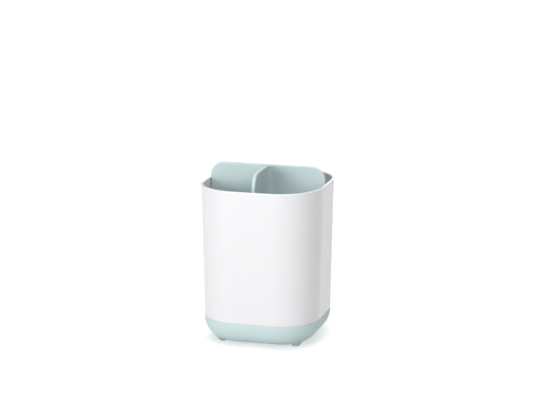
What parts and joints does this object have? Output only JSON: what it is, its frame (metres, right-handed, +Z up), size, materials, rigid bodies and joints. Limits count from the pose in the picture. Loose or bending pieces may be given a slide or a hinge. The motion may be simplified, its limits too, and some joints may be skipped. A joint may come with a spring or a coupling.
{
  "type": "toothbrush holder",
  "caption": "Rounded square tapered toothbrush holder with a lift-off sleeve, slotted floor, T-shaped divider and a drip tray on soft feet.",
  "frame": {"origin": "on the surface that the feet stand on, under the middle of the holder", "axes": "+Z up, +X to the right seen from the front, the front with the two small compartments towards -Y"},
  "size_m": [0.1, 0.1, 0.1418],
  "materials": {
    "sleeve_white": "smooth white moulded plastic, soft gloss",
    "insert_blue": "pale blue-green moulded plastic, fine satin texture",
    "tray_blue": "pale blue-green moulded plastic, fine satin texture",
    "foot_soft": "pale blue-green soft elastomer, matt"
  },
  "bodies": {
    "tray": {"base_tray": "tray_blue", "foot_front_left": "foot_soft", "foot_front_right": "foot_soft", "foot_rear_left": "foot_soft", "foot_rear_right": "foot_soft"},
    "sleeve": {"outer_sleeve": "sleeve_white"},
    "floor": {"drain_floor": "insert_blue"},
    "divider": {"divider": "insert_blue"}
  },
  "joints": [
    {"name": "sleeve_lift", "type": "slide", "parent": "tray", "child": "sleeve", "axis": [0, 0, 1], "range_m": [0, 0.04]},
    {"name": "floor_lift", "type": "slide", "parent": "sleeve", "child": "floor", "axis": [0, 0, 1], "range_m": [0, 0.12]},
    {"name": "divider_lift", "type": "slide", "parent": "floor", "child": "divider", "axis": [0, 0, 1], "range_m": [0, 0.12]}
  ]
}
